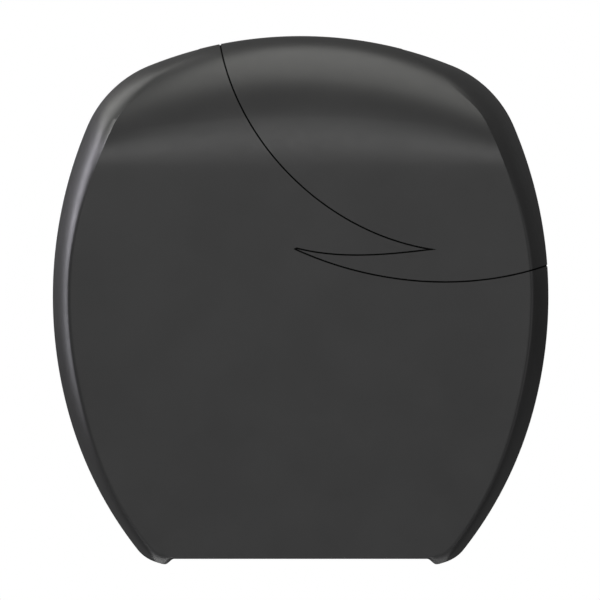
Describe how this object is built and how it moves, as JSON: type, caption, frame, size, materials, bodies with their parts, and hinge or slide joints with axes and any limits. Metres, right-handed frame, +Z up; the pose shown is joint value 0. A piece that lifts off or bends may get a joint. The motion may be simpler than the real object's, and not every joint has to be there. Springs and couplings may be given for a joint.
{
  "type": "jumbo toilet roll dispenser",
  "caption": "Wall-mounted jumbo toilet roll dispenser: a bulged cover that swings down over a roll hub, with a curved inlaid panel, a top lock and toothed tear edges.",
  "frame": {"origin": "centre of the four wall-screw holes on the wall plane, where the roll's axis meets the wall", "axes": "+X to the right seen from the front, +Y into the wall, +Z up"},
  "size_m": [0.32, 0.13, 0.34],
  "materials": {
    "cover_plastic": "satin black moulded plastic with a fine grain",
    "panel_plastic": "satin black moulded plastic with a fine grain",
    "back_plate_plastic": "matt black moulded plastic",
    "hub_plastic": "light grey moulded plastic",
    "bush_plastic": "natural acetal",
    "plated_steel": "bright zinc plate",
    "spring_steel": "blue-grey spring steel",
    "tear_edge_steel": "brushed stainless steel",
    "lock_metal": "nickel-plated die-cast zinc"
  },
  "bodies": {
    "wall_unit": {"back_plate": "back_plate_plastic", "hinge_pin_left": "plated_steel", "hinge_pin_right": "plated_steel", "keeper_bracket": "plated_steel", "keeper_screws": "plated_steel", "spindle_post": "plated_steel", "spindle_screws": "plated_steel", "brake_spring": "spring_steel", "brake_screw": "plated_steel", "retaining_washer": "plated_steel", "retaining_screw": "plated_steel"},
    "roll_hub": {"brake_disc": "back_plate_plastic", "hub_core": "hub_plastic", "hub_bush_rear": "bush_plastic", "hub_bush_front": "bush_plastic", "hub_cap": "hub_plastic"},
    "cover": {"cover_shell": "cover_plastic", "accent_panel": "panel_plastic", "panel_clips": "spring_steel", "tear_edge_left": "tear_edge_steel", "tear_edge_right": "tear_edge_steel", "tear_edge_screws": "plated_steel", "lock_housing": "lock_metal", "lock_nut": "lock_metal"},
    "lock": {"lock_barrel": "lock_metal", "lock_cam": "plated_steel", "cam_screw": "plated_steel"}
  },
  "joints": [
    {"name": "cover_hinge", "type": "hinge", "parent": "wall_unit", "child": "cover", "pos_m": [0, -0.018, -0.158], "axis": [1, 0, 0], "range_deg": [0, 90]},
    {"name": "hub_spin", "type": "hinge", "parent": "wall_unit", "child": "roll_hub", "pos_m": [0, 0, 0], "axis": [0, -1, 0], "continuous": true},
    {"name": "lock_turn", "type": "hinge", "parent": "cover", "child": "lock", "pos_m": [0, -0.032, 0.15], "axis": [0, 0, -1], "range_deg": [0, 90]}
  ]
}
